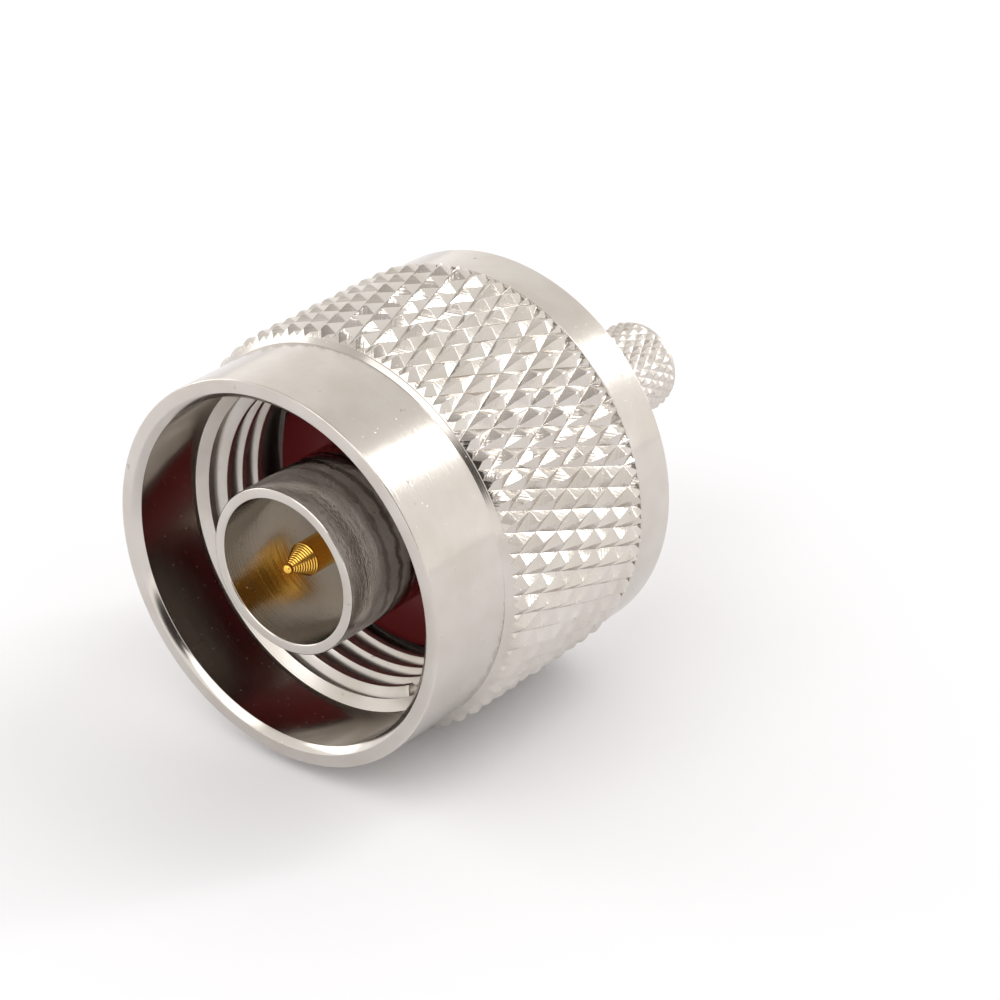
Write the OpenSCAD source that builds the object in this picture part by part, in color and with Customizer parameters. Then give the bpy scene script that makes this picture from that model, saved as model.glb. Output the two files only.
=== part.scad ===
// N-type cable plug (male), straight, crimp fixing, for a 5 mm coaxial cable.
// The mating axis lies along Y: the mouth faces -Y and the cable leaves towards +Y.
// The origin is on the axis, at the front rim of the outer conductor (the reference plane).

/* [Coupling nut] */
// Overall length of the coupling nut
nut_length = 16.45; // [16:0.05:17.5]
// How far the nut's face stands in front of the reference plane
nut_lead = 0.5; // [0.2:0.05:0.8]
// Diameter of the smooth front band
front_band_d = 18.6; // [18:0.1:18.9]
// Diameter of the smooth rear band
rear_band_d = 19.3; // [19.2:0.1:19.6]
// Length of the smooth rear band
rear_band_length = 2.26; // [1.8:0.02:2.6]
// Diameter of the counterbore behind the mouth
counterbore_d = 16.7; // [16.2:0.02:17]
// Depth of the counterbore behind the reference plane
counterbore_depth = 3.43; // [3:0.01:3.8]
// Major diameter of the coupling thread, 5/8 inch
thread_major_d = 15.88; // [15.8:0.01:16]
// Pitch of the coupling thread, 24 turns to the inch
thread_pitch = 1.0583; // [1.05:0.0001:1.07]
// Turns of full thread
thread_turns = 3.6; // [3:0.1:4]

/* [Knurling] */
// Teeth round the coupling nut
knurl_count = 60; // [48:2:72]
// Rows of teeth along the coupling nut
knurl_rows = 7; // [5:2:9]
// Height of the knurl's teeth
knurl_height = 0.38; // [0.2:0.01:0.45]
// Diameter at the bottom of the knurl's grooves
knurl_root_d = 19.08; // [19:0.02:19.16]
// Flat left on top of each tooth, as a share of its width
knurl_flat = 0.16; // [0.05:0.01:0.4]
// Teeth round the crimp stem
stem_knurl_count = 20; // [14:2:28]
// Rows of teeth along the crimp stem
stem_knurl_rows = 12; // [6:2:16]
// Height of the stem's teeth
stem_knurl_height = 0.2; // [0.1:0.01:0.3]

/* [Outer conductor] */
// Outside diameter of the outer conductor's tube
tube_d = 8.03; // [7.9:0.01:8.1]
// Inside diameter of the tube
tube_bore_d = 7.0; // [6.9:0.01:7.06]
// Diameter of the barrel that the coupling nut turns on
barrel_d = 14.2; // [13.8:0.1:14.4]
// Face of the gasket behind the reference plane
gasket_face = 8.2; // [8:0.05:8.4]
// Thickness of the gasket
gasket_thickness = 1.3; // [1:0.05:1.5]
// Outside diameter of the gasket
gasket_d = 14.6; // [14.2:0.05:14.66]

/* [Centre contact and insulators] */
// Diameter of the pin's tip
pin_tip_d = 1.6; // [1.55:0.01:1.68]
// Distance of the pin's rounded nose behind the reference plane
pin_nose = 0.2; // [0.1:0.01:0.5]
// Length of the pin's cone
pin_cone_length = 1.35; // [1:0.05:1.6]
// Fine turned rings on the cone
pin_rings = 7; // [4:1:9]
// Depth of the pin's step behind the reference plane
pin_step = 5.3; // [5.2:0.02:5.4]
// Diameter of the pin behind its step
pin_body_d = 3.04; // [3:0.01:3.1]
// Front face of the front insulator behind the reference plane
insulator_face = 5.9; // [5.6:0.05:6.5]

/* [Cable end] */
// Inside diameter of the crimp ferrule that slides onto the land
ferrule_bore_d = 5.5; // [5.4:0.02:5.6]
// Diameter over the crimp stem's knurl
stem_d = 4.64; // [4.4:0.02:4.8]
// Bore of the stem, which takes the cable's insulation
stem_bore_d = 3.1; // [3:0.02:3.2]
// Rear end of the stem behind the reference plane
stem_end = 26.85; // [25:0.05:28]

/* [Hidden] */
$fn = 128;

// Clearances
running_gap = 0.08;
seat_gap = 0.02;
edge_break = 0.12;

// Coupling nut
nut_front = -nut_lead;
nut_rear = nut_length - nut_lead;
front_band_r = front_band_d / 2;
rear_band_r = rear_band_d / 2;
counterbore_r = counterbore_d / 2;
thread_r = thread_major_d / 2;
mouth_chamfer = 0.32;
knurl_root_r = knurl_root_d / 2;
knurl_seat_r = knurl_root_r - 0.02;
knurl_front = 4.42;
shoulder_start = knurl_front - (knurl_seat_r - front_band_r) - 0.01;
rear_band_start = nut_rear - rear_band_length;
knurl_line = 0.12;
knurl_rear = rear_band_start - knurl_line;
thread_start = counterbore_depth + (counterbore_r - thread_r);
thread_end = thread_start + thread_turns * thread_pitch;
relief_r = thread_r + 0.15;
relief_end = gasket_face + 0.7;
chamber_r = 7.8;
lip_face = 13.04;

// Outer conductor
tube_r = tube_d / 2;
tube_bore_r = tube_bore_d / 2;
barrel_r = barrel_d / 2;
flange_face = gasket_face + gasket_thickness;
gasket_land_r = tube_r + 0.235;
ring_groove_r = 6.3;
ring_groove_start = 12.2;
ring_groove_width = 1.1;
barrel_end = 16.3;
hub_r = 5.4;
hub_end = 17.2;
cavity_r = 4.6;
cavity_start = 11;

// Snap ring
ring_bore_r = ring_groove_r + 0.05;
ring_r = 7.55;
ring_start = ring_groove_start + seat_gap;
ring_thickness = 0.8;
ring_slit = 2.2;

// Centre contact and insulators
pin_tip_r = pin_tip_d / 2;
pin_nose_r = 0.25;
pin_body_r = pin_body_d / 2;
collar_r = 2;
collar_start = 11.42;
collar_end = 12.38;
pin_barrel_r = 1.1;
pin_end = 16.9;
solder_bore_r = 0.55;
solder_bore_start = 13.2;
solder_hole_r = 0.3;
solder_hole_at = 14.2;
insulator_split = 12.4;
rear_insulator_end = 14;

// Cable end
stem_r = stem_d / 2;
stem_bore_r = stem_bore_d / 2;
stem_stop = 17.4;
stem_throat_r = 1.35;
stem_flange_end = hub_end + 0.5;
stem_land_r = ferrule_bore_d / 2 - 0.03;
stem_land_end = stem_flange_end + 1;
stem_root_r = stem_r - stem_knurl_height;
stem_knurl_start = stem_land_end + 0.3;
stem_knurl_end = stem_end - 0.35;

// Turns a profile, given as [radius, distance behind the reference plane], about the mating axis.
module turned(profile) {
    rotate([-90, 0, 0])
        rotate_extrude()
            polygon(profile);
}

// A point on a cylinder, with its angle in degrees.
function around(r, angle, z) = [r * cos(angle), r * sin(angle), z];

// A sleeve of diamond knurling, from front to rear along Z: two families of crossing V grooves leave
// four-sided teeth, whose rows alternate. count is the teeth round it, rows the rows along it. It ends
// halfway between two rows: at the front on a 45 degree cone, at the rear square. inner_r is buried in
// the turned blank that carries the sleeve.
module knurl_sleeve(count, rows, root_r, height, flat_share, inner_r, front, rear) {
    columns = 2 * count;
    step = 360 / columns;
    pitch = (rear - front) / rows;
    top_r = root_r + height;
    cut = height * 0.5 / (1 - flat_share);
    arris_slope = 2 * cut / pitch;
    per_row = 5 * count;
    function row_z(i) = front + (i + 0.5) * pitch;
    function tooth_column(i, m) = 2 * m + i % 2;
    function groove_column(i, m) = 2 * m + 1 - i % 2;

    // Each row holds the four corners of every tooth's flat top, then the groove crossings between them.
    rows_points = [
        for (i = [0 : rows - 1])
            for (p = concat(
                [for (m = [0 : count - 1])
                    for (corner = [[1, 0], [0, 1], [-1, 0], [0, -1]])
                        around(top_r, (tooth_column(i, m) + corner[0] * flat_share) * step,
                               row_z(i) + corner[1] * flat_share * pitch)],
                [for (m = [0 : count - 1])
                    around(root_r, groove_column(i, m) * step, row_z(i))]))
                p];
    // How far up the front cone the arrises reach: those of the first row climb with it, and those of
    // the row that the cone cuts away fall.
    function cone_rise(j) = j % 2 == 1 ? 0 : cut / (j % 4 == 0 ? 1 - arris_slope : 1 + arris_slope);
    coned_rim = [for (j = [0 : 2 * columns - 1])
        around(root_r + cone_rise(j), j * step / 2, front + cone_rise(j))];
    square_rim = [for (j = [0 : 2 * columns - 1])
        around(j % 2 == 0 ? root_r + cut : root_r, j * step / 2, rear)];
    function bore(z) = [for (j = [0 : 2 * columns - 1]) around(inner_r, j * step / 2, z)];
    front_rim = rows * per_row;
    rear_rim = front_rim + 2 * columns;
    front_bore = rear_rim + 2 * columns;
    rear_bore = front_bore + 2 * columns;

    function top(i, k, corner) = i * per_row + 4 * floor((k % columns) / 2) + corner;
    function valley(i, k) = i * per_row + 4 * count + floor((k % columns) / 2);
    function at_rim(first, j) = first + j % (2 * columns);

    flats = [
        for (i = [0 : rows - 1])
            for (m = [0 : count - 1])
                [for (corner = [1, 0, 3, 2]) i * per_row + 4 * m + corner]];
    flanks = [
        for (i = [0 : rows - 2])
            for (k = [0 : columns - 1])
                for (face = (i + k) % 2 == 0
                    ? [[top(i, k, 1), valley(i + 1, k), valley(i, k + 1), top(i, k, 0)],
                       [top(i + 1, k + 1, 3), valley(i, k + 1), valley(i + 1, k), top(i + 1, k + 1, 2)]]
                    : [[valley(i, k), valley(i + 1, k + 1), top(i, k + 1, 1), top(i, k + 1, 2)],
                       [valley(i + 1, k + 1), valley(i, k), top(i + 1, k, 3), top(i + 1, k, 0)]])
                    face];
    front_cut = [
        for (k = [0 : columns - 1])
            for (face = k % 2 == 0
                ? [[top(0, k, 3), top(0, k, 0), valley(0, k + 1), at_rim(front_rim, 2 * k + 1),
                    at_rim(front_rim, 2 * k)],
                   [valley(0, k + 1), at_rim(front_rim, 2 * k + 2), at_rim(front_rim, 2 * k + 1)]]
                : [[valley(0, k), top(0, k + 1, 2), top(0, k + 1, 3), at_rim(front_rim, 2 * k + 2),
                    at_rim(front_rim, 2 * k + 1)],
                   [at_rim(front_rim, 2 * k), valley(0, k), at_rim(front_rim, 2 * k + 1)]])
                face];
    last = rows - 1;
    rear_cut = [
        for (k = [0 : columns - 1])
            for (face = (last + k) % 2 == 0
                ? [[top(last, k, 1), at_rim(rear_rim, 2 * k), at_rim(rear_rim, 2 * k + 1),
                    valley(last, k + 1), top(last, k, 0)],
                   [valley(last, k + 1), at_rim(rear_rim, 2 * k + 1), at_rim(rear_rim, 2 * k + 2)]]
                : [[valley(last, k), at_rim(rear_rim, 2 * k + 1), at_rim(rear_rim, 2 * k + 2),
                    top(last, k + 1, 1), top(last, k + 1, 2)],
                   [valley(last, k), at_rim(rear_rim, 2 * k), at_rim(rear_rim, 2 * k + 1)]])
                face];
    ends = [
        for (j = [0 : 2 * columns - 1])
            for (face = [
                [at_rim(front_rim, j), at_rim(front_rim, j + 1), at_rim(front_bore, j + 1),
                 at_rim(front_bore, j)],
                [at_rim(rear_rim, j + 1), at_rim(rear_rim, j), at_rim(rear_bore, j),
                 at_rim(rear_bore, j + 1)],
                [at_rim(front_bore, j), at_rim(front_bore, j + 1), at_rim(rear_bore, j + 1),
                 at_rim(rear_bore, j)]])
                face];

    rotate([-90, 0, 0])
        polyhedron(points = concat(rows_points, coned_rim, square_rim,
                                   bore(front - 0.8 * (root_r - inner_r)), bore(rear)),
                   faces = concat(flats, flanks, front_cut, rear_cut, ends));
}

// The turned nut with its thread's bore; the thread's turns stand inwards from thread_r.
module coupling_nut() {
    color("#cfcac4") {
        turned([
            [counterbore_r + mouth_chamfer, nut_front],
            [front_band_r - edge_break, nut_front],
            [front_band_r, nut_front + edge_break],
            [front_band_r, shoulder_start],
            [knurl_seat_r, shoulder_start + knurl_seat_r - front_band_r],
            [knurl_seat_r, rear_band_start],
            [rear_band_r - edge_break / 2, rear_band_start],
            [rear_band_r, rear_band_start + edge_break / 2],
            [rear_band_r, nut_rear - edge_break],
            [rear_band_r - edge_break, nut_rear],
            [barrel_r + running_gap + edge_break, nut_rear],
            [barrel_r + running_gap, nut_rear - edge_break],
            [barrel_r + running_gap, lip_face],
            [chamber_r, lip_face],
            [chamber_r, relief_end],
            [relief_r, relief_end],
            [relief_r, thread_end],
            [thread_r, thread_end],
            [thread_r, thread_start],
            [counterbore_r, counterbore_depth],
            [counterbore_r, nut_front + mouth_chamfer]]);
        knurl_sleeve(knurl_count, knurl_rows, knurl_root_r, knurl_height, knurl_flat,
                     knurl_root_r - 0.4, knurl_front, knurl_rear);
    }
}

// The split spring ring that holds the nut on the barrel.
module snap_ring() {
    color("#b9b7b2")
        difference() {
            turned([
                [ring_bore_r, ring_start],
                [ring_r, ring_start],
                [ring_r, ring_start + ring_thickness],
                [ring_bore_r, ring_start + ring_thickness]]);
            translate([-ring_slit / 2, ring_start - 1, -ring_r - 1])
                cube([ring_slit, ring_thickness + 2, ring_r]);
        }
}

// The front shell: contact tube, gasket land, flange, grooved barrel and hollow rear hub.
module outer_conductor() {
    rim_break = 0.06;
    color("#d2cdc6")
        turned([
            [tube_bore_r + rim_break, 0],
            [tube_r - rim_break, 0],
            [tube_r, rim_break],
            [tube_r, gasket_face + 0.1],
            [gasket_land_r, gasket_face + 0.1],
            [gasket_land_r, flange_face],
            [barrel_r - edge_break, flange_face],
            [barrel_r, flange_face + edge_break],
            [barrel_r, ring_groove_start],
            [ring_groove_r, ring_groove_start],
            [ring_groove_r, ring_groove_start + ring_groove_width],
            [barrel_r, ring_groove_start + ring_groove_width],
            [barrel_r, barrel_end - edge_break],
            [barrel_r - edge_break, barrel_end],
            [hub_r, barrel_end],
            [hub_r, hub_end],
            [cavity_r, hub_end],
            [cavity_r, cavity_start],
            [tube_bore_r, cavity_start],
            [tube_bore_r, rim_break]]);
}

// The flat silicone sealing ring at the bottom of the nut.
module gasket() {
    gasket_break = 0.1;
    color("#4a161a")
        turned([
            [gasket_land_r + 0.01, gasket_face],
            [gasket_d / 2 - gasket_break, gasket_face],
            [gasket_d / 2, gasket_face + gasket_break],
            [gasket_d / 2, flange_face],
            [gasket_land_r + 0.01, flange_face]]);
}

// The white PTFE bead that carries the pin, with its flange and the recess for the pin's collar.
module front_insulator() {
    color("#f2f0ea")
        turned([
            [pin_body_r + seat_gap, insulator_face],
            [tube_bore_r - 0.01, insulator_face],
            [tube_bore_r - 0.01, cavity_start],
            [cavity_r - seat_gap, cavity_start],
            [cavity_r - seat_gap, insulator_split],
            [collar_r + 0.05, insulator_split],
            [collar_r + 0.05, collar_start - seat_gap],
            [pin_body_r + seat_gap, collar_start - seat_gap]]);
}

// The PTFE disc that closes the recess behind the pin's collar.
module rear_insulator() {
    color("#f2f0ea")
        turned([
            [pin_barrel_r + seat_gap, insulator_split],
            [cavity_r - seat_gap, insulator_split],
            [cavity_r - seat_gap, rear_insulator_end],
            [pin_barrel_r + seat_gap, rear_insulator_end]]);
}

// The gold-plated pin: round nose, cone with fine turned rings, step, collar and hollow solder barrel.
module centre_pin() {
    nose_end = pin_nose + pin_nose_r;
    cone_end = pin_nose + pin_cone_length;
    cone_start = nose_end + 0.08;
    neck_r = pin_nose_r * 0.86;
    ring_pitch = (cone_end - cone_start) / pin_rings;
    ring_rise = (pin_tip_r - neck_r) / pin_rings;
    ring_depth = 0.035;
    nose = [for (a = [0 : 15 : 105])
        [pin_nose_r * sin(a), nose_end - pin_nose_r * cos(a)]];
    rings = [for (i = [0 : pin_rings - 1])
        for (p = [
            [neck_r + ring_rise * (i + 0.3) - ring_depth, cone_start + ring_pitch * i],
            [neck_r + ring_rise * (i + 0.8), cone_start + ring_pitch * (i + 0.35)],
            [neck_r + ring_rise * (i + 1), cone_start + ring_pitch * (i + 0.8)]])
            p];
    color("#c99b52")
        difference() {
            turned(concat(nose, rings, [
                [pin_tip_r, cone_end],
                [pin_tip_r, pin_step],
                [pin_body_r - edge_break, pin_step],
                [pin_body_r, pin_step + edge_break],
                [pin_body_r, collar_start],
                [collar_r, collar_start],
                [collar_r, collar_end],
                [pin_barrel_r, collar_end],
                [pin_barrel_r, pin_end],
                [solder_bore_r, pin_end],
                [solder_bore_r, solder_bore_start],
                [0, solder_bore_start - 0.3]]));
            translate([0, solder_hole_at, 0])
                cylinder(r = solder_hole_r, h = pin_barrel_r + 1);
        }
}

// The rear body: a plug pressed into the hub, a flange, the ferrule's land and the knurled crimp stem.
module crimp_stem() {
    color("#c9c4bc") {
        turned([
            [stem_throat_r, rear_insulator_end],
            [cavity_r - seat_gap, rear_insulator_end],
            [cavity_r - seat_gap, hub_end],
            [hub_r, hub_end],
            [hub_r, stem_flange_end - edge_break],
            [hub_r - edge_break, stem_flange_end],
            [stem_land_r, stem_flange_end],
            [stem_land_r, stem_land_end],
            [stem_root_r - 0.02, stem_land_end],
            [stem_root_r - 0.02, stem_end - edge_break],
            [stem_root_r - 0.02 - edge_break, stem_end],
            [stem_bore_r, stem_end],
            [stem_bore_r, stem_stop],
            [stem_throat_r, stem_stop]]);
        knurl_sleeve(stem_knurl_count, stem_knurl_rows, stem_root_r, stem_knurl_height, knurl_flat,
                     stem_root_r - 0.2, stem_knurl_start, stem_knurl_end);
    }
}

coupling_nut();
snap_ring();
outer_conductor();
gasket();
front_insulator();
rear_insulator();
centre_pin();
crimp_stem();
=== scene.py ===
"""N-type cable plug: finely turned pieces and their real finishes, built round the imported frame."""

import math

import bpy
from mathutils import Euler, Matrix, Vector, noise


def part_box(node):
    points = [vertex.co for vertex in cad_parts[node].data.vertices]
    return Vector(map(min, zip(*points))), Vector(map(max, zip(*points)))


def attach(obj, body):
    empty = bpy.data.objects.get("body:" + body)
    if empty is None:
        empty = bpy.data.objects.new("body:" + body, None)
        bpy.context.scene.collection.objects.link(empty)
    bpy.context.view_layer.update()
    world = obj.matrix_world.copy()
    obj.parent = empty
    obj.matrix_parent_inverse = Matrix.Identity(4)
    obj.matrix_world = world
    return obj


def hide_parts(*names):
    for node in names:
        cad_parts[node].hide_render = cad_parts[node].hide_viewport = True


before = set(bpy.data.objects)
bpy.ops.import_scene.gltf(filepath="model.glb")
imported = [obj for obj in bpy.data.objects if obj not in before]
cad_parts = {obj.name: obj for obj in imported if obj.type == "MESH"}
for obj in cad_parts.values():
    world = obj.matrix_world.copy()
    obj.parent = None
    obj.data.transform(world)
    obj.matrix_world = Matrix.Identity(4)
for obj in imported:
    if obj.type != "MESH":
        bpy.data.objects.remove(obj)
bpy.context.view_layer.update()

bl_info = {
    "name": "N-type cable plug",
    "version": (1, 0, 0),
    "blender": (4, 5, 0),
    "location": "3D View > Sidebar > Plug",
    "description": "Turned, knurled and plated pieces of a coaxial cable plug, with finishes and a stage",
    "category": "Object",
}

MM = 0.001
ROUND = 240  # segments round a turned piece: a multiple of four times the knurl's teeth
SAME = 1e-7  # metres within which two places are one
KNURL_EDGE = 20  # degrees over which the knurls' edges are broken
KNURL_FILL = 0.97  # share of the tooth's height that is raised, to stay inside the solid's box
UNEVEN = 0.12  # how far the rolled teeth are off, as a share of their height
UNEVEN_PER_PITCH = 2.7  # how quickly that changes, in waves of noise to a tooth
BURIED = 0.06 * MM  # how deep a sleeve or a ridge reaches into the piece that carries it
SEATED = 0.02 * MM  # small step that keeps two faces from lying in one place
BEAD_FLANGE = 1.4 * MM  # width of the bead's flange, and so of its seat in the shell
THREAD_FLANK = math.radians(30)
LEAD_IN = math.radians(30)  # slope of the nut's lead-in cone
NUT_LOW, NUT_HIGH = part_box("coupling_nut")
TUBE_LOW, TUBE_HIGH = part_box("outer_conductor")
GASKET_LOW, GASKET_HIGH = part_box("gasket")
BEAD_LOW, BEAD_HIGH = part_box("front_insulator")
PIN_LOW, PIN_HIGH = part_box("centre_pin")
STEM_LOW, STEM_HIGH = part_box("crimp_stem")


# Sizes and colours -----------------------------------------------------------------------------------

def linear(hex_colour):
    """An sRGB hex colour as linear red, green, blue and alpha."""
    parts = [int(hex_colour[i:i + 2], 16) / 255 for i in (1, 3, 5)]
    return tuple(p / 12.92 if p <= 0.04045 else ((p + 0.055) / 1.055) ** 2.4 for p in parts) + (1.0,)


def length(name, description, millimetres):
    """A length property with its default given in millimetres."""
    return bpy.props.FloatProperty(
        name=name, description=description, default=millimetres * MM, unit='LENGTH', precision=5)


def colour(name, description, hex_colour):
    """A colour property with its default given as an sRGB hex value."""
    return bpy.props.FloatVectorProperty(
        name=name, description=description, default=linear(hex_colour), subtype='COLOR', size=4,
        min=0.0, max=1.0)


class PlugSizes(bpy.types.PropertyGroup):
    """Sizes of the plug's pieces that the frame's boxes don't give."""
    knurl_teeth: bpy.props.IntProperty(name="Knurl teeth", description="Teeth round the nut", default=60)
    knurl_rows: bpy.props.IntProperty(name="Knurl rows", description="Rows of teeth along the nut", default=7)
    knurl_root: length("Knurl root", "Radius at the bottom of the knurl's grooves", 9.54)
    knurl_front: length("Knurl front", "Where the knurl starts, behind the reference plane", 4.42)
    knurl_rear: length("Knurl rear", "Where the knurl ends, behind the reference plane", 13.67)
    front_band: length("Front band", "Radius of the smooth front band", 9.3)
    rear_band: length("Rear band", "Radius of the smooth rear band", 9.65)
    rear_band_start: length("Rear band start", "Front edge of the rear band", 13.69)
    counterbore: length("Counterbore", "Radius of the counterbore", 8.35)
    counterbore_floor: length("Counterbore floor", "Depth of the counterbore", 3.43)
    thread_major: length("Thread major", "Radius at the bottom of the coupling thread", 7.94)
    thread_minor: length("Thread minor", "Radius over the thread's crests", 7.42)
    thread_pitch: length("Thread pitch", "Distance from turn to turn, 24 to the inch", 1.0583)
    thread_turns: bpy.props.FloatProperty(name="Thread turns", description="Turns of thread", default=3.6)
    chamber: length("Chamber", "Radius of the space round the snap ring", 7.8)
    lip_bore: length("Lip bore", "Radius of the nut's bore on the barrel", 7.18)
    lip_face: length("Lip face", "Front face of the nut's rear lip", 13.04)
    tube: length("Contact tube", "Outside radius of the contact tube", 4.015)
    tube_bore: length("Tube bore", "Inside radius of the contact tube", 3.5)
    barrel: length("Barrel", "Radius of the barrel that the nut turns on", 7.1)
    groove: length("Ring groove", "Radius at the bottom of the snap ring's groove", 6.3)
    hub: length("Hub", "Radius of the rear hub", 5.4)
    cavity: length("Cavity", "Radius inside the rear hub", 4.6)
    pin_tip: length("Pin tip", "Radius of the pin's tip", 0.8)
    pin_nose: length("Pin nose", "Radius of the pin's round nose", 0.25)
    pin_cone: length("Pin cone", "Length of the pin's cone with its nose", 1.35)
    pin_step: length("Pin step", "Depth of the pin's step", 5.3)
    pin_body: length("Pin body", "Radius of the pin behind its step", 1.52)
    pin_rings: bpy.props.IntProperty(name="Pin rings", description="Turned rings on the cone", default=10)
    stem_teeth: bpy.props.IntProperty(name="Stem teeth", description="Teeth round the stem", default=28)
    stem_rows: bpy.props.IntProperty(name="Stem rows", description="Rows of teeth along it", default=16)
    stem: length("Stem", "Radius over the stem's knurl", 2.32)
    stem_tooth: length("Stem tooth", "Height of the stem's teeth", 0.15)
    stem_bore: length("Stem bore", "Radius of the stem's bore", 1.55)
    land: length("Ferrule land", "Radius of the land that seats a crimp ferrule", 2.72)
    edge_break: length("Edge break", "Width of the small broken edges", 0.12)


class PlugColours(bpy.types.PropertyGroup):
    """Base colours of the plug's finishes."""
    nickel: colour("Nickel", "Bright nickel plate", "#D0CBC5")
    nickel_shade: colour("Nickel shade", "Warmer places in the plate", "#C6BFB7")
    gold: colour("Gold", "Gold plate", "#F0BC58")
    silicone: colour("Silicone", "Dark red silicone rubber", "#74191D")
    ptfe: colour("PTFE", "White PTFE", "#EFEBE2")
    bronze: colour("Spring bronze", "Plated spring bronze", "#B7A88C")
    stain: colour("Stain", "Rare brown stains in the plate", "#8B8075")
    # Painted reflection: the nut's thread mirrored in the contact tube, painted as dark wavy rings on its
    # rear half
    painted_thread_reflection: colour("Painted thread reflection", "Painted rings round the contact tube", "#5E544C")
    floor: colour("Floor", "Plain pale floor", "#F2F2F5")


# Modelling -------------------------------------------------------------------------------------------

def deselect():
    """Leave nothing selected, in object mode."""
    if bpy.context.object and bpy.context.object.mode != 'OBJECT':
        bpy.ops.object.mode_set(mode='OBJECT')
    bpy.ops.object.select_all(action='DESELECT')


def start_ring(name, radius, y, segments):
    """A ring of edges round the mating axis, in its place, left in edit mode with all selected."""
    deselect()
    bpy.ops.mesh.primitive_circle_add(vertices=segments, radius=radius, fill_type='NOTHING',
                                      location=(0, y, 0), rotation=(math.pi / 2, 0, 0))
    piece = bpy.context.object
    piece.name = name
    bpy.ops.object.transform_apply(location=True, rotation=True, scale=True)
    bpy.ops.object.mode_set(mode='EDIT')
    bpy.ops.mesh.select_all(action='SELECT')
    return piece


def extend_ring(radius, y, next_radius, next_y):
    """Extrude the selected ring from one point of a profile to the next."""
    bpy.ops.mesh.extrude_region_move(TRANSFORM_OT_translate={"value": (0, next_y - y, 0)})
    scale = next_radius / radius
    bpy.ops.transform.resize(value=(scale, 1, scale), center_override=(0, next_y, 0))


def turn(name, profile, segments=ROUND, closed=True):
    """Turn a profile of (radius, y) points: a closed one returns to its start, an open one is capped."""
    piece = start_ring(name, *profile[0], segments)
    points = profile[1:] + (profile[:1] if closed else [])
    last = profile[0]
    for point in points:
        extend_ring(*last, *point)
        last = point
    bpy.ops.mesh.select_all(action='SELECT')
    bpy.ops.mesh.remove_doubles(threshold=SAME)
    if not closed:
        bpy.ops.mesh.fill_holes(sides=0)
        bpy.ops.mesh.select_all(action='SELECT')
    bpy.ops.mesh.normals_make_consistent(inside=False)
    bpy.ops.object.mode_set(mode='OBJECT')
    return piece


def soften(piece, width, angle=28, segments=2):
    """Break the edges sharper than angle, then shade smoothly up to it, with the broad faces kept true."""
    deselect()
    piece.select_set(True)
    bpy.context.view_layer.objects.active = piece
    bevel = piece.modifiers.new("broken edges", 'BEVEL')
    bevel.width = width
    bevel.segments = segments
    bevel.limit_method = 'ANGLE'
    bevel.angle_limit = math.radians(angle)
    bpy.ops.object.modifier_apply(modifier=bevel.name)
    bpy.ops.object.shade_smooth_by_angle(angle=math.radians(angle))
    shading = piece.modifiers.new("true faces", 'WEIGHTED_NORMAL')
    shading.weight = 100
    shading.keep_sharp = True
    bpy.ops.object.modifier_apply(modifier=shading.name)


def select_edges(piece, wanted):
    """Select the edges whose two end points satisfy wanted, in edge mode."""
    bpy.ops.mesh.select_mode(type='EDGE')
    bpy.ops.mesh.select_all(action='DESELECT')
    bpy.ops.object.mode_set(mode='OBJECT')
    mesh = piece.data
    for edge in mesh.edges:
        edge.select = wanted(*(mesh.vertices[i].co for i in edge.vertices))
    bpy.ops.object.mode_set(mode='EDIT')


def lean(piece, root, slope):
    """Shift each point along the axis by slope times its height over the root.

    A flat cut made while the piece leans is a cone once it is leant back.
    """
    for vertex in piece.data.vertices:
        vertex.co.y += slope * (math.hypot(vertex.co.x, vertex.co.z) - root)


def cut_end(piece, y, keep_behind, inner):
    """Cut a sleeve square at y, and wall the cut in down to its inner radius."""
    bpy.ops.object.mode_set(mode='EDIT')
    bpy.ops.mesh.select_all(action='SELECT')
    bpy.ops.mesh.bisect(plane_co=(0, y, 0), plane_no=(0, 1, 0), clear_inner=keep_behind,
                        clear_outer=not keep_behind)
    select_edges(piece, lambda a, b: abs(a.y - y) < SAME and abs(b.y - y) < SAME)
    bpy.ops.mesh.extrude_region_move()
    bpy.ops.object.mode_set(mode='OBJECT')
    for vertex in piece.data.vertices:
        if vertex.select:
            shrink = inner / math.hypot(vertex.co.x, vertex.co.z)
            vertex.co.x *= shrink
            vertex.co.z *= shrink


def outward_sign(piece):
    """1 when the faces of a sleeve round the mating axis point away from it, else -1."""
    bpy.ops.object.mode_set(mode='OBJECT')
    face = piece.data.polygons[0]
    sign = face.normal.x * face.center.x + face.normal.z * face.center.z
    bpy.ops.object.mode_set(mode='EDIT')
    return 1 if sign > 0 else -1


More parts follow.
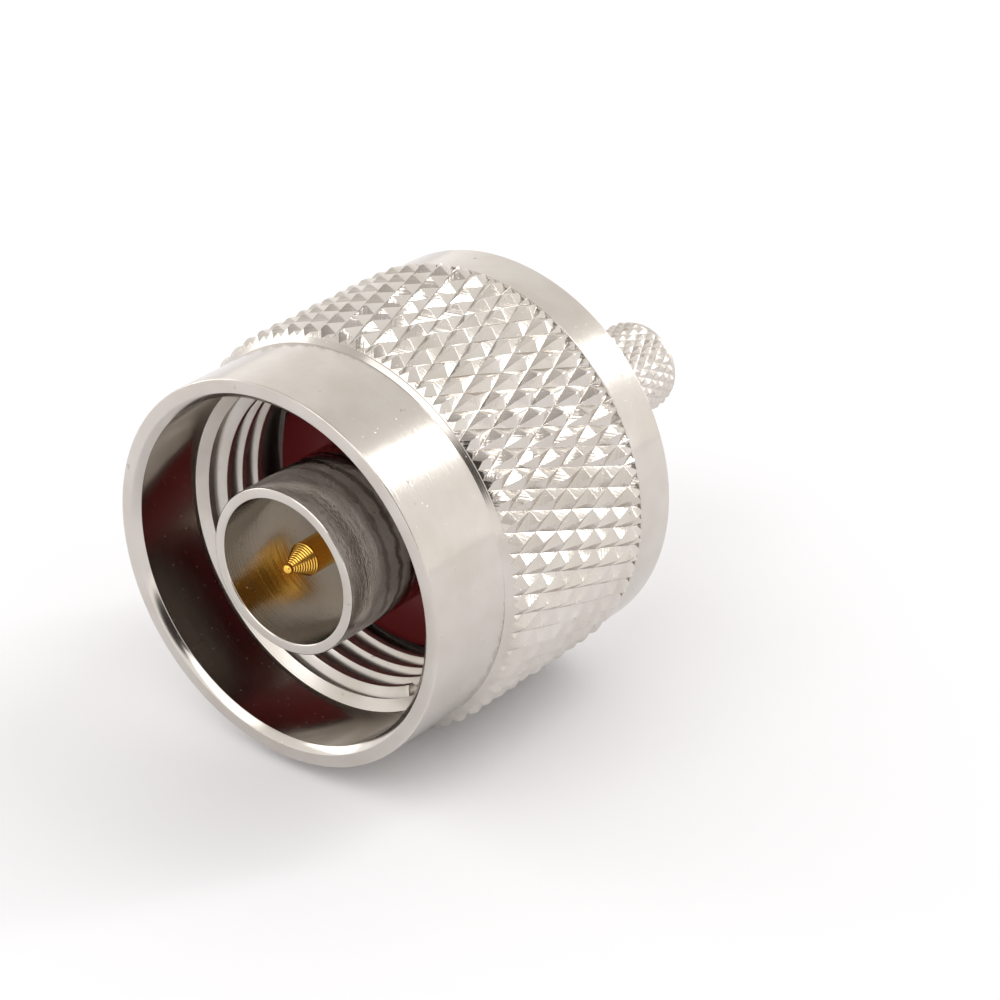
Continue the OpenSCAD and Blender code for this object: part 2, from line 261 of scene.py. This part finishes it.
def knurl_sleeve(name, teeth, rows, root, height, front, rear, slope=0, flat=0.1):
    """A closed sleeve of diamond knurling, whose inside is buried in the blank that carries it.

    A grid of quads is poked and its own edges are dissolved, which leaves a lattice of diamonds. Each
    diamond is inset and raised to a four-sided tooth with a small flat top. The rear end is cut square,
    and the front end along a cone where slope is 1.
    """
    pitch = (rear - front) / rows
    first = front - 1.5 * pitch
    rings = (rows + 1) // 2 + 2
    inner = root - BURIED
    piece = start_ring(name, root, first, teeth)
    for i in range(rings - 1):
        extend_ring(root, first + 2 * pitch * i, root, first + 2 * pitch * (i + 1))
    bpy.ops.mesh.select_all(action='SELECT')
    bpy.ops.mesh.normals_make_consistent(inside=False)
    if outward_sign(piece) < 0:
        bpy.ops.mesh.flip_normals()
    bpy.ops.mesh.poke()

    def of_grid(a, b):
        same_ring = abs(a.y - b.y) < 0.1 * pitch
        same_angle = abs(a.x - b.x) < SAME and abs(a.z - b.z) < SAME
        return same_ring or same_angle
    select_edges(piece, of_grid)
    bpy.ops.mesh.dissolve_edges(use_verts=False)
    bpy.ops.mesh.select_mode(type='FACE')
    bpy.ops.mesh.select_all(action='SELECT')
    half_width = root * math.pi / teeth
    reach = half_width * pitch / math.hypot(half_width, pitch)
    bpy.ops.mesh.inset(thickness=reach * (1 - flat), depth=height, use_individual=True,
                       use_even_offset=True)
    bpy.ops.object.mode_set(mode='OBJECT')
    # Known fault: this noise has no seed set, so the teeth differ by a few hundredths of a mm at each run.
    for vertex in piece.data.vertices:
        vertex.co += UNEVEN * height * noise.noise_vector(vertex.co * (UNEVEN_PER_PITCH / pitch))
    lean(piece, root, -slope)
    cut_end(piece, front, True, inner)
    lean(piece, root, slope)
    cut_end(piece, rear, False, inner)
    bpy.ops.object.mode_set(mode='EDIT')
    select_edges(piece, lambda a, b: (abs(math.hypot(a.x, a.z) - inner) < SAME
                                      and abs(math.hypot(b.x, b.z) - inner) < SAME))
    bpy.ops.mesh.bridge_edge_loops()
    bpy.ops.mesh.select_all(action='SELECT')
    bpy.ops.mesh.normals_make_consistent(inside=False)
    bpy.ops.object.mode_set(mode='OBJECT')
    return piece


def join(blank, *others):
    """Join other pieces into the blank."""
    deselect()
    for piece in (blank, *others):
        piece.select_set(True)
    bpy.context.view_layer.objects.active = blank
    bpy.ops.object.join()
    return blank


def dress(piece, material, body, *nodes, slot):
    """Give a piece its material, its body and the CAD nodes that it stands for; slot is not used."""
    piece.data.materials.clear()
    piece.data.materials.append(material)
    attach(piece, body)
    if nodes:
        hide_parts(*nodes)


def dress_node(node, material):
    """Give a CAD node that keeps its own shape a better material."""
    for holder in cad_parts[node].material_slots:
        holder.material = material


# Finishes --------------------------------------------------------------------------------------------

def add_node(tree, kind, inputs=None, **settings):
    """Add a node with its settings; an input takes a value or another node's output."""
    made = tree.nodes.new(kind)
    for name, value in settings.items():
        setattr(made, name, value)
    for name, value in (inputs or {}).items():
        if isinstance(value, bpy.types.NodeSocket):
            tree.links.new(value, made.inputs[name])
        else:
            made.inputs[name].default_value = value
    return made


def maths(tree, operation, *values):
    """The result of one arithmetic node."""
    return add_node(tree, 'ShaderNodeMath', dict(enumerate(values)), operation=operation).outputs[0]


def blend_colours(tree, factor, one, other):
    """One colour, turning into the other as factor goes from 0 to 1."""
    return add_node(tree, 'ShaderNodeMix', {"Factor": factor, 6: one, 7: other}, data_type='RGBA').outputs[2]


def new_finish(name):
    """An empty material with its output node: (material, tree, output)."""
    material = bpy.data.materials.new(name)
    material.use_nodes = True
    tree = material.node_tree
    tree.nodes.clear()
    return material, tree, add_node(tree, 'ShaderNodeOutputMaterial')


def from_axis(tree, place):
    """Distance from the mating axis."""
    parts = add_node(tree, 'ShaderNodeSeparateXYZ', {"Vector": place})
    across = add_node(tree, 'ShaderNodeCombineXYZ', {"X": parts.outputs["X"], "Z": parts.outputs["Z"]})
    return add_node(tree, 'ShaderNodeVectorMath', {0: across.outputs[0]},
                    operation='LENGTH').outputs["Value"]


def turned_lines(tree, place, per_mm):
    """Fine lines left by the lathe: the same all round, changing along the axis and across a face."""
    parts = add_node(tree, 'ShaderNodeSeparateXYZ', {"Vector": place})
    along = maths(tree, 'ADD', parts.outputs["Y"], from_axis(tree, place))
    return add_node(tree, 'ShaderNodeTexNoise',
                    {"W": maths(tree, 'MULTIPLY', along, per_mm / MM),
                     "Scale": 1.0, "Detail": 3.0, "Roughness": 0.6}, noise_dimensions='1D').outputs["Fac"]


def rolled_lines(tree, place, per_turn, per_mm):
    """Fine scratches along the two slants of a diamond knurl, where the rolling wheels slid."""
    parts = add_node(tree, 'ShaderNodeSeparateXYZ', {"Vector": place})
    angle = maths(tree, 'ARCTAN2', parts.outputs["Z"], parts.outputs["X"])
    along = maths(tree, 'MULTIPLY', parts.outputs["Y"], per_mm / MM)
    slants = []
    for hand in (-1, 1):
        slant = maths(tree, 'MULTIPLY_ADD', angle, hand * per_turn / (2 * math.pi), along)
        slants.append(add_node(tree, 'ShaderNodeTexNoise', {"W": slant, "Scale": 1.0, "Detail": 2.0},
                               noise_dimensions='1D').outputs["Fac"])
    return maths(tree, 'ADD', *slants)


def patches(tree, place, size_mm, detail=3.0):
    """Soft irregular patches of about size_mm across."""
    return add_node(tree, 'ShaderNodeTexNoise', {"Vector": place, "Scale": 1 / (size_mm * MM),
                                                 "Detail": detail}).outputs["Fac"]


def ramp(tree, value, low, high, to_low=0.0, to_high=1.0):
    """Map value from low..high to to_low..to_high, clamped."""
    return add_node(tree, 'ShaderNodeMapRange', {"Value": value, "From Min": low, "From Max": high,
                                                 "To Min": to_low, "To Max": to_high}).outputs["Result"]


def plated_metal(name, bright, shade, roughness, relief, relief_mm, wear, coarse=None, reflected_rings=None):
    """Bright plate on worked metal: a mirror drawn out by tool marks, with smears, pits and rare stains.

    relief makes the marks, of height 0 to 1, from the tree and the place; relief_mm is their true height.
    coarse says in the same way where, from 0 to 1, the metal under the plate was left rougher, and
    reflected_rings where the nut's thread, mirrored in the plate, is painted into the colour as dark rings.
    """
    tones = bpy.context.scene.plug_colours
    material, tree, output = new_finish(name)
    place = add_node(tree, 'ShaderNodeTexCoord').outputs["Object"]
    marks = relief(tree, place)
    smear = patches(tree, place, 2.6)
    pits = ramp(tree, patches(tree, place, 0.16, 1.0), 0.73, 0.78)
    tint = blend_colours(tree, ramp(tree, smear, 0.35, 0.7), bright, shade)
    stains = ramp(tree, patches(tree, place, 0.7, 5.0), 0.71, 0.74, 0.0, 0.45)
    stained_and_reflected = blend_colours(tree, stains, tint, tones.stain)
    # Painted reflection: the rings of a mirrored thread are blended into the colour in a dark tone
    if reflected_rings:
        stained_and_reflected = blend_colours(tree, ramp(tree, reflected_rings(tree, place), 0, 1, 0.0, 0.75), stained_and_reflected, tones.painted_thread_reflection)
    rough = maths(tree, 'ADD', ramp(tree, smear, 0.3, 0.75, roughness, roughness + wear),
                  ramp(tree, pits, 0, 1, 0, 0.15))
    if coarse:
        rough = maths(tree, 'MULTIPLY_ADD', coarse(tree, place), 0.14, rough)
    height = maths(tree, 'SUBTRACT', marks, pits)
    bump = add_node(tree, 'ShaderNodeBump', {"Height": height, "Strength": 1.0, "Distance": relief_mm * MM})
    shader = add_node(tree, 'ShaderNodeBsdfPrincipled',
                      {"Base Color": stained_and_reflected, "Metallic": 1.0, "Roughness": rough,
                       "Normal": bump.outputs[0]})
    tree.links.new(shader.outputs[0], output.inputs["Surface"])
    return material


def lathe_work(per_mm):
    """Marks of a plain turned surface."""
    return lambda tree, place: turned_lines(tree, place, per_mm)


def inside_thread(tree, place):
    """1 on the nut's lead-in cone and threaded part, 0 on its polished counterbore and outside."""
    along = add_node(tree, 'ShaderNodeSeparateXYZ', {"Vector": place}).outputs["Y"]
    deep = ramp(tree, along, 3.42 * MM, 3.45 * MM)
    near = ramp(tree, from_axis(tree, place), 8.34 * MM, 8.37 * MM, 1.0, 0.0)
    return maths(tree, 'MULTIPLY', deep, near)


def tube_outside(tree, place):
    """1 on the outside of the contact tube, 0 in its bore and on the flange and barrel behind it."""
    radius = from_axis(tree, place)
    return maths(tree, 'MULTIPLY', ramp(tree, radius, 3.7 * MM, 3.75 * MM),
                 ramp(tree, radius, 4.08 * MM, 4.12 * MM, 1.0, 0.0))


def mirrored_thread_rings(tree, place):
    """1 in the wavy rings round the rear half of the tube's outside where the nut's thread is mirrored, 0
    elsewhere; the colour paints that reflection in as dark rings.
    """
    spacing = 0.85 * MM
    outside = tube_outside(tree, place)
    along = add_node(tree, 'ShaderNodeSeparateXYZ', {"Vector": place}).outputs["Y"]
    wavy = maths(tree, 'MULTIPLY_ADD', patches(tree, place, 0.5), 0.5 * MM, along)
    wave = maths(tree, 'SINE', maths(tree, 'MULTIPLY', wavy, 2 * math.pi / spacing))
    rear = maths(tree, 'MULTIPLY', outside, ramp(tree, along, 1.2 * MM, 3.2 * MM))
    return maths(tree, 'MULTIPLY', ramp(tree, wave, 0.1, 0.9), rear)


def tube_work(tree, place):
    """Marks of the contact tube: close lines in its reamed bore, and a mottled, faintly lined outside."""
    outside = tube_outside(tree, place)
    fine = maths(tree, 'MULTIPLY', turned_lines(tree, place, 14), ramp(tree, outside, 0, 1, 1.0, 0.4))
    lines = maths(tree, 'MULTIPLY_ADD', mirrored_thread_rings(tree, place), -0.8, fine)
    mottle = maths(tree, 'MULTIPLY', patches(tree, place, 0.2, 5.0), ramp(tree, outside, 0, 1, 0.2, 1.5))
    return maths(tree, 'ADD', mottle, lines)


def knurl_work(tree, place):
    """Marks of the rolling wheels on the diamond teeth."""
    return rolled_lines(tree, place, 380, 4.7)


def silicone_rubber(name, base):
    """Moulded silicone: dark, satin, with a faint grain."""
    material, tree, output = new_finish(name)
    place = add_node(tree, 'ShaderNodeTexCoord').outputs["Object"]
    grain = patches(tree, place, 0.12, 2.0)
    bump = add_node(tree, 'ShaderNodeBump', {"Height": grain, "Strength": 0.5, "Distance": 0.004 * MM})
    shader = add_node(tree, 'ShaderNodeBsdfPrincipled',
                      {"Base Color": base, "Roughness": 0.42, "IOR": 1.42, "Normal": bump.outputs[0]})
    tree.links.new(shader.outputs[0], output.inputs["Surface"])
    return material


def machined_ptfe(name, base):
    """Machined PTFE: white, waxy, with faint turning lines."""
    material, tree, output = new_finish(name)
    place = add_node(tree, 'ShaderNodeTexCoord').outputs["Object"]
    bump = add_node(tree, 'ShaderNodeBump', {"Height": turned_lines(tree, place, 5), "Strength": 0.4,
                                             "Distance": 0.004 * MM})
    shader = add_node(tree, 'ShaderNodeBsdfPrincipled',
                      {"Base Color": base, "Roughness": 0.45, "IOR": 1.35, "Normal": bump.outputs[0],
                       "Subsurface Weight": 0.15, "Subsurface Scale": 0.4 * MM})
    tree.links.new(shader.outputs[0], output.inputs["Surface"])
    return material


def pale_floor(name, base):
    """A plain matt white surface."""
    material, tree, output = new_finish(name)
    shader = add_node(tree, 'ShaderNodeBsdfPrincipled', {"Base Color": base, "Roughness": 0.7})
    tree.links.new(shader.outputs[0], output.inputs["Surface"])
    return material


FINISHES = {}


def finish_named(key):
    """The finish of that name, made when it is first asked for."""
    tones = bpy.context.scene.plug_colours
    makers = {
        "nut": lambda: plated_metal("bright_nickel_nut", tones.nickel, tones.nickel_shade, 0.13,
                                    lathe_work(8), 0.0022, 0.06, inside_thread),
        "thread": lambda: plated_metal("bright_nickel_thread", tones.nickel, tones.nickel_shade, 0.28,
                                       lathe_work(6), 0.002, 0.06),
        "knurl": lambda: plated_metal("bright_nickel_knurl", tones.nickel, tones.nickel_shade, 0.13,
                                      knurl_work, 0.006, 0.06),
        # The shell's colour carries a painted reflection of the nut's thread, as dark rings on the tube's
        # outside
        "body": lambda: plated_metal("bright_nickel_body", tones.nickel, tones.nickel_shade, 0.1,
                                     tube_work, 0.006, 0.06, reflected_rings=mirrored_thread_rings),
        "stem": lambda: plated_metal("satin_nickel_stem", tones.nickel, tones.nickel_shade, 0.26,
                                     lathe_work(8), 0.002, 0.06),
        "gold": lambda: plated_metal("gold_plate", tones.gold, tones.gold, 0.16, lathe_work(8), 0.001, 0.05),
        "bronze": lambda: plated_metal("spring_bronze", tones.bronze, tones.bronze, 0.3,
                                       lathe_work(5), 0.001, 0.1),
        "silicone": lambda: silicone_rubber("silicone_rubber", tones.silicone),
        "ptfe": lambda: machined_ptfe("machined_ptfe", tones.ptfe),
        "floor": lambda: pale_floor("pale_floor", tones.floor),
    }
    if key not in FINISHES:
        FINISHES[key] = makers[key]()
    return FINISHES[key]


# Pieces ----------------------------------------------------------------------------------------------

class MakeNut(bpy.types.Operator):
    """Turn the coupling nut, knurl it and cut its thread"""
    bl_idname = "plug.make_nut"
    bl_label = "Coupling nut"

    def execute(self, context):
        s = context.scene.plug_sizes
        front, rear = NUT_LOW.y, NUT_HIGH.y
        seat = s.knurl_root - SEATED
        rise = seat - s.front_band
        tooth = NUT_HIGH.x - s.knurl_root
        mouth = 0.32 * MM
        lead_in = 0.5 * MM
        relief = s.thread_major + 0.15 * MM
        thread_start = s.counterbore_floor + s.counterbore - s.thread_major
        thread_end = thread_start + s.thread_turns * s.thread_pitch
        lead = s.thread_major - 0.14 * MM
        lead_end = s.counterbore_floor + (s.counterbore - lead) * math.tan(LEAD_IN)
        relief_end = GASKET_LOW.y + 0.7 * MM
        blank = turn("knurled_nut", [
            (s.counterbore + mouth, front),
            (s.front_band - 0.06 * MM, front),
            (s.front_band, front + 0.06 * MM),
            (s.front_band, s.knurl_front - rise - 0.04 * MM),
            (seat, s.knurl_front - 0.04 * MM),
            (seat, s.rear_band_start),
            (s.rear_band - 0.04 * MM, s.rear_band_start),
            (s.rear_band, s.rear_band_start + 0.04 * MM),
            (s.rear_band, rear - s.edge_break),
            (s.rear_band - s.edge_break, rear),
            (s.lip_bore + s.edge_break, rear),
            (s.lip_bore, rear - s.edge_break),
            (s.lip_bore, s.lip_face),
            (s.chamber, s.lip_face),
            (s.chamber, relief_end),
            (relief, relief_end),
            (relief, thread_end),
            (s.thread_major, thread_end),
            (s.thread_major, lead_end + 0.06 * MM),
            (lead, lead_end),
            (s.counterbore, s.counterbore_floor),
            (s.counterbore, front + mouth)])
        self.roughen_rim(blank, s.front_band - 0.06 * MM, front)
        soften(blank, 0.03 * MM)
        knurl = knurl_sleeve("knurl", s.knurl_teeth, s.knurl_rows, s.knurl_root, tooth * KNURL_FILL,
                             s.knurl_front, s.knurl_rear, slope=1)
        soften(knurl, 0.014 * MM, angle=KNURL_EDGE)
        dress(blank, finish_named("nut"), "nut", "coupling_nut", slot="nickel_nut")
        dress(knurl, finish_named("knurl"), "nut", slot="nickel_nut")
        thread = self.thread(s, thread_start + lead_in)
        dress(thread, finish_named("thread"), "nut", slot="nickel_nut")
        return {'FINISHED'}

    def roughen_rim(self, blank, radius, front):
        """Leave the slightly uneven edge that the lathe leaves round the front face."""
        deselect()
        bpy.context.view_layer.objects.active = blank
        bpy.ops.object.mode_set(mode='EDIT')
        select_edges(blank, lambda a, b: (max(abs(a.y - front), abs(b.y - front)) < 0.002 * MM
                                          and abs(math.hypot(a.x, a.z) - radius) < 0.002 * MM
                                          and abs(math.hypot(b.x, b.z) - radius) < 0.002 * MM))
        bpy.ops.transform.translate(value=(0, 0.015 * MM, 0))
        bpy.ops.transform.vertex_random(offset=0.014 * MM, seed=5)
        bpy.ops.object.mode_set(mode='OBJECT')

    def thread(self, s, start):
        """The turns of the thread: a ridge with 60 degree flanks, wound to the right, sunk in the nut."""
        depth = s.thread_major + BURIED - s.thread_minor
        crest = s.thread_pitch / 4
        base = crest + 2 * depth * math.tan(THREAD_FLANK)
        turns = s.thread_turns - 0.3
        middle = s.thread_minor + depth / 2
        deselect()
        bpy.ops.mesh.primitive_plane_add(size=1, location=(middle, start, 0))
        ridge = bpy.context.object
        ridge.name = "nut_thread"
        ridge.scale = (depth, base, 1)
        bpy.ops.object.transform_apply(location=True, rotation=True, scale=True)
        bpy.ops.object.mode_set(mode='EDIT')
        select_edges(ridge, lambda a, b: max(a.x, b.x) < middle)
        bpy.ops.transform.resize(value=(1, crest / base, 1), center_override=(middle, start, 0))
        bpy.ops.mesh.select_all(action='SELECT')
        bpy.ops.mesh.delete(type='ONLY_FACE')
        bpy.ops.mesh.select_all(action='SELECT')
        bpy.ops.transform.rotate(value=math.radians(-60), orient_axis='Y', center_override=(0, 0, 0))
        bpy.ops.object.mode_set(mode='OBJECT')
        winding = ridge.modifiers.new("winding", 'SCREW')
        winding.axis = 'Y'
        winding.angle = 2 * math.pi * turns
        winding.screw_offset = s.thread_pitch * turns
        winding.steps = round(ROUND * turns)
        winding.render_steps = winding.steps
        bpy.ops.object.modifier_apply(modifier=winding.name)
        bpy.ops.object.mode_set(mode='EDIT')
        bpy.ops.mesh.select_all(action='SELECT')
        bpy.ops.mesh.fill_holes(sides=0)
        bpy.ops.mesh.select_all(action='SELECT')
        bpy.ops.mesh.normals_make_consistent(inside=False)
        bpy.ops.object.mode_set(mode='OBJECT')
        soften(ridge, 0.025 * MM)
        return ridge


class MakeShell(bpy.types.Operator):
    """Turn the front shell: contact tube, gasket land, flange, barrel and hub"""
    bl_idname = "plug.make_shell"
    bl_label = "Front shell"

    def execute(self, context):
        s = context.scene.plug_sizes
        land = s.tube + 0.235 * MM
        groove_start = 12.2 * MM
        groove_end = groove_start + 1.1 * MM
        barrel_end = 16.3 * MM
        rim = 0.06 * MM
        cavity_start = BEAD_HIGH.y - BEAD_FLANGE
        shell = turn("contact_shell", [
            (s.tube_bore + rim, TUBE_LOW.y),
            (s.tube - rim, TUBE_LOW.y),
            (s.tube, TUBE_LOW.y + rim),
            (s.tube, GASKET_LOW.y + 0.1 * MM),
            (land, GASKET_LOW.y + 0.1 * MM),
            (land, GASKET_HIGH.y),
            (s.barrel - s.edge_break, GASKET_HIGH.y),
            (s.barrel, GASKET_HIGH.y + s.edge_break),
            (s.barrel, groove_start),
            (s.groove, groove_start),
            (s.groove, groove_end),
            (s.barrel, groove_end),
            (s.barrel, barrel_end - s.edge_break),
            (s.barrel - s.edge_break, barrel_end),
            (s.hub, barrel_end),
            (s.hub, TUBE_HIGH.y),
            (s.cavity, TUBE_HIGH.y),
            (s.cavity, cavity_start),
            (s.tube_bore, cavity_start),
            (s.tube_bore, TUBE_LOW.y + rim)])
        soften(shell, 0.025 * MM)
        dress(shell, finish_named("body"), "root", "outer_conductor", slot="nickel_body")
        return {'FINISHED'}


class MakeGasket(bpy.types.Operator):
    """Mould the flat silicone ring at the bottom of the nut"""
    bl_idname = "plug.make_gasket"
    bl_label = "Gasket"

    def execute(self, context):
        s = context.scene.plug_sizes
        inner = s.tube + 0.245 * MM
        outer = GASKET_HIGH.x
        ring = turn("sealing_ring", [
            (inner, GASKET_LOW.y),
            (outer, GASKET_LOW.y),
            (outer, GASKET_HIGH.y),
            (inner, GASKET_HIGH.y)])
        soften(ring, 0.1 * MM, segments=4)
        dress(ring, finish_named("silicone"), "root", "gasket", slot="silicone")
        return {'FINISHED'}


class MakeBead(bpy.types.Operator):
    """Turn the front insulating bead that carries the pin"""
    bl_idname = "plug.make_bead"
    bl_label = "Front bead"

    def execute(self, context):
        s = context.scene.plug_sizes
        hole = s.pin_body + SEATED
        outer = s.tube_bore - 0.01 * MM
        flange = BEAD_HIGH.x
        flange_start = BEAD_HIGH.y - BEAD_FLANGE
        recess = 2.05 * MM
        recess_start = BEAD_HIGH.y - MM
        bead = turn("front_bead", [
            (hole, BEAD_LOW.y),
            (outer, BEAD_LOW.y),
            (outer, flange_start),
            (flange, flange_start),
            (flange, BEAD_HIGH.y),
            (recess, BEAD_HIGH.y),
            (recess, recess_start),
            (hole, recess_start)], segments=128)
        soften(bead, 0.05 * MM)
        dress(bead, finish_named("ptfe"), "root", "front_insulator", slot="ptfe")
        return {'FINISHED'}


class MakePin(bpy.types.Operator):
    """Turn the centre pin with its round nose and ringed cone"""
    bl_idname = "plug.make_pin"
    bl_label = "Centre pin"

    def execute(self, context):
        s = context.scene.plug_sizes
        nose_end = PIN_LOW.y + s.pin_nose
        cone_end = PIN_LOW.y + s.pin_cone
        cone_start = nose_end + 0.08 * MM
        neck = 0.86 * s.pin_nose
        pitch = (cone_end - cone_start) / s.pin_rings
        rise = (s.pin_tip - neck) / s.pin_rings
        depth = 0.014 * MM
        nose = [(max(s.pin_nose * math.sin(a), 0.01 * MM), nose_end - s.pin_nose * math.cos(a))
                for a in (math.radians(7.5 * i) for i in range(15))]
        rings = []
        for i in range(s.pin_rings):
            start = cone_start + pitch * i
            rings += [(neck + rise * (i + 0.3) - depth, start),
                      (neck + rise * (i + 0.8), start + 0.35 * pitch),
                      (neck + rise * (i + 1), start + 0.8 * pitch)]
        collar_start = 11.42 * MM
        collar_end = 12.38 * MM
        barrel = 1.1 * MM
        bore = 0.55 * MM
        bore_end = 13.2 * MM
        pin = turn("ringed_pin", nose + rings + [
            (s.pin_tip, cone_end),
            (s.pin_tip, s.pin_step),
            (s.pin_body - s.edge_break, s.pin_step),
            (s.pin_body, s.pin_step + s.edge_break),
            (s.pin_body, collar_start),
            (2 * MM, collar_start),
            (2 * MM, collar_end),
            (barrel, collar_end),
            (barrel, PIN_HIGH.y),
            (bore, PIN_HIGH.y),
            (bore, bore_end),
            (0.01 * MM, bore_end - 0.3 * MM)], segments=96, closed=False)
        soften(pin, 0.012 * MM)
        dress(pin, finish_named("gold"), "root", "centre_pin", slot="gold")
        return {'FINISHED'}


class MakeStem(bpy.types.Operator):
    """Turn the rear body and knurl its crimp stem"""
    bl_idname = "plug.make_stem"
    bl_label = "Crimp stem"

    def execute(self, context):
        s = context.scene.plug_sizes
        root = s.stem - s.stem_tooth
        seat = root - SEATED
        plug = s.cavity - SEATED
        throat = 1.35 * MM
        stop = 17.4 * MM
        hub_end = TUBE_HIGH.y
        flange_end = hub_end + 0.5 * MM
        land_end = flange_end + MM
        end = STEM_HIGH.y
        blank = turn("knurled_stem", [
            (throat, STEM_LOW.y),
            (plug, STEM_LOW.y),
            (plug, hub_end),
            (s.hub, hub_end),
            (s.hub, flange_end - s.edge_break),
            (s.hub - s.edge_break, flange_end),
            (s.land, flange_end),
            (s.land, land_end),
            (seat, land_end),
            (seat, end - s.edge_break),
            (seat - s.edge_break, end),
            (s.stem_bore, end),
            (s.stem_bore, stop),
            (throat, stop)], segments=160)
        soften(blank, 0.025 * MM)
        knurl = knurl_sleeve("stem_knurl", s.stem_teeth, s.stem_rows, root, s.stem_tooth * KNURL_FILL,
                             land_end + 0.3 * MM, end - 0.35 * MM)
        soften(knurl, 0.012 * MM, angle=KNURL_EDGE)
        stem = join(blank, knurl)
        dress(stem, finish_named("stem"), "root", "crimp_stem", slot="nickel_body")
        return {'FINISHED'}


class DressHidden(bpy.types.Operator):
    """Give the hidden pieces, which keep their own shape, their finishes"""
    bl_idname = "plug.dress_hidden"
    bl_label = "Hidden pieces"

    def execute(self, context):
        dress_node("snap_ring", finish_named("bronze"))
        dress_node("rear_insulator", finish_named("ptfe"))
        return {'FINISHED'}


# Stage -----------------------------------------------------------------------------------------------

def softbox(name, direction, distance, width, height, radiance):
    """An area light that faces the plug from a direction; its power follows from its radiance."""
    light = bpy.data.lights.new(name, 'AREA')
    light.shape = 'RECTANGLE'
    light.size = width
    light.size_y = height
    light.energy = radiance * math.pi * width * height
    box = bpy.data.objects.new(name, light)
    bpy.context.scene.collection.objects.link(box)
    toward = Vector(direction).normalized()
    centre = Vector((0, 8 * MM, 0))
    box.location = centre + toward * distance
    box.rotation_euler = (-toward).to_track_quat('-Z', 'Y').to_euler()


def studio_world(dark_direction, dark_angle):
    """Pale walls, a dimmer ceiling and the dark patch where the camera stands."""
    world = bpy.data.worlds.new("studio")
    world.use_nodes = True
    tree = world.node_tree
    tree.nodes.clear()
    output = add_node(tree, 'ShaderNodeOutputWorld')
    way = add_node(tree, 'ShaderNodeTexCoord').outputs["Generated"]
    height = add_node(tree, 'ShaderNodeSeparateXYZ', {"Vector": way}).outputs["Z"]
    walls = add_node(tree, 'ShaderNodeValToRGB', {"Fac": ramp(tree, height, -0.2, 1.0)})
    stops = walls.color_ramp.elements
    stops[0].position, stops[0].color = 0.0, linear("#E6E5E4")
    stops[1].position, stops[1].color = 1.0, linear("#84817E")
    for place, shade in ((0.17, "#D9D7D5"), (0.42, "#CFCDCB"), (0.72, "#C4C2BF"), (0.84, "#B0ADAA")):
        stop = stops.new(place)
        stop.color = linear(shade)
    facing = add_node(tree, 'ShaderNodeVectorMath', {0: way, 1: dark_direction}, operation='DOT_PRODUCT')
    dark = ramp(tree, facing.outputs["Value"], math.cos(dark_angle * 1.3), math.cos(dark_angle))
    mixed = blend_colours(tree, dark, walls.outputs[0], linear("#2A2421"))
    light = add_node(tree, 'ShaderNodeBackground', {"Color": mixed, "Strength": 1.85})
    tree.links.new(light.outputs[0], output.inputs["Surface"])
    bpy.context.scene.world = world


class MakeStage(bpy.types.Operator):
    """Lay the floor and place the lights and the camera"""
    bl_idname = "plug.make_stage"
    bl_label = "Stage"

    def execute(self, context):
        deselect()
        bpy.ops.mesh.primitive_plane_add(size=3, location=(0, 0, NUT_LOW.z - SEATED))
        floor = context.object
        floor.name = "floor"
        bpy.ops.object.transform_apply(location=True, rotation=True, scale=True)
        floor.data.materials.append(finish_named("floor"))

        camera = bpy.data.cameras.new("camera")
        camera.lens = 123.98
        camera.clip_start = 0.01
        holder = bpy.data.objects.new("camera", camera)
        context.scene.collection.objects.link(holder)
        down, around, roll = (math.radians(a) for a in (28.573, 38.225, 0.214))
        holder.rotation_euler = Euler((math.pi / 2 - down, 0, around), 'XYZ')
        turn_roll = holder.rotation_euler.to_matrix() @ Euler((0, 0, roll)).to_matrix()
        holder.rotation_euler = turn_roll.to_euler()
        aim = Vector((2.325, 12.599, -0.917)) * MM
        holder.location = aim + turn_roll @ Vector((0, 0, 160.122 * MM))
        context.scene.camera = holder

        softbox("back_strip", (0.396, 0.689, 0.607), 0.45, 0.05, 0.5, 7.5)
        softbox("front_top", (0.03, -0.62, 0.78), 0.5, 0.44, 0.34, 1.35)
        softbox("left_wall", (-0.9, -0.1, 0.35), 0.6, 0.4, 0.3, 1.2)
        studio_world((0.57, -0.71, 0.41), math.radians(15))
        context.scene.view_settings.view_transform = 'Standard'
        return {'FINISHED'}


class PlugPanel(bpy.types.Panel):
    """Buttons for the plug's pieces and its stage"""
    bl_idname = "VIEW3D_PT_plug"
    bl_label = "Cable plug"
    bl_space_type = 'VIEW_3D'
    bl_region_type = 'UI'
    bl_category = "Plug"

    def draw(self, context):
        for maker in MAKERS:
            self.layout.operator(maker.bl_idname)
        self.layout.prop(context.scene.plug_sizes, "knurl_teeth")
        self.layout.prop(context.scene.plug_colours, "nickel")


MAKERS = (MakeStage, MakeNut, MakeShell, MakeGasket, MakeBead, MakePin, MakeStem, DressHidden)
CLASSES = (PlugSizes, PlugColours) + MAKERS + (PlugPanel,)


def register():
    for cls in CLASSES:
        bpy.utils.register_class(cls)
    bpy.types.Scene.plug_sizes = bpy.props.PointerProperty(type=PlugSizes)
    bpy.types.Scene.plug_colours = bpy.props.PointerProperty(type=PlugColours)


def unregister():
    del bpy.types.Scene.plug_colours
    del bpy.types.Scene.plug_sizes
    for cls in reversed(CLASSES):
        bpy.utils.unregister_class(cls)


def main():
    register()
    bpy.ops.plug.make_stage()
    bpy.ops.plug.make_nut()
    bpy.ops.plug.make_shell()
    bpy.ops.plug.make_gasket()
    bpy.ops.plug.make_bead()
    bpy.ops.plug.make_pin()
    bpy.ops.plug.make_stem()
    bpy.ops.plug.dress_hidden()
    deselect()


if __name__ == "__main__":
    main()
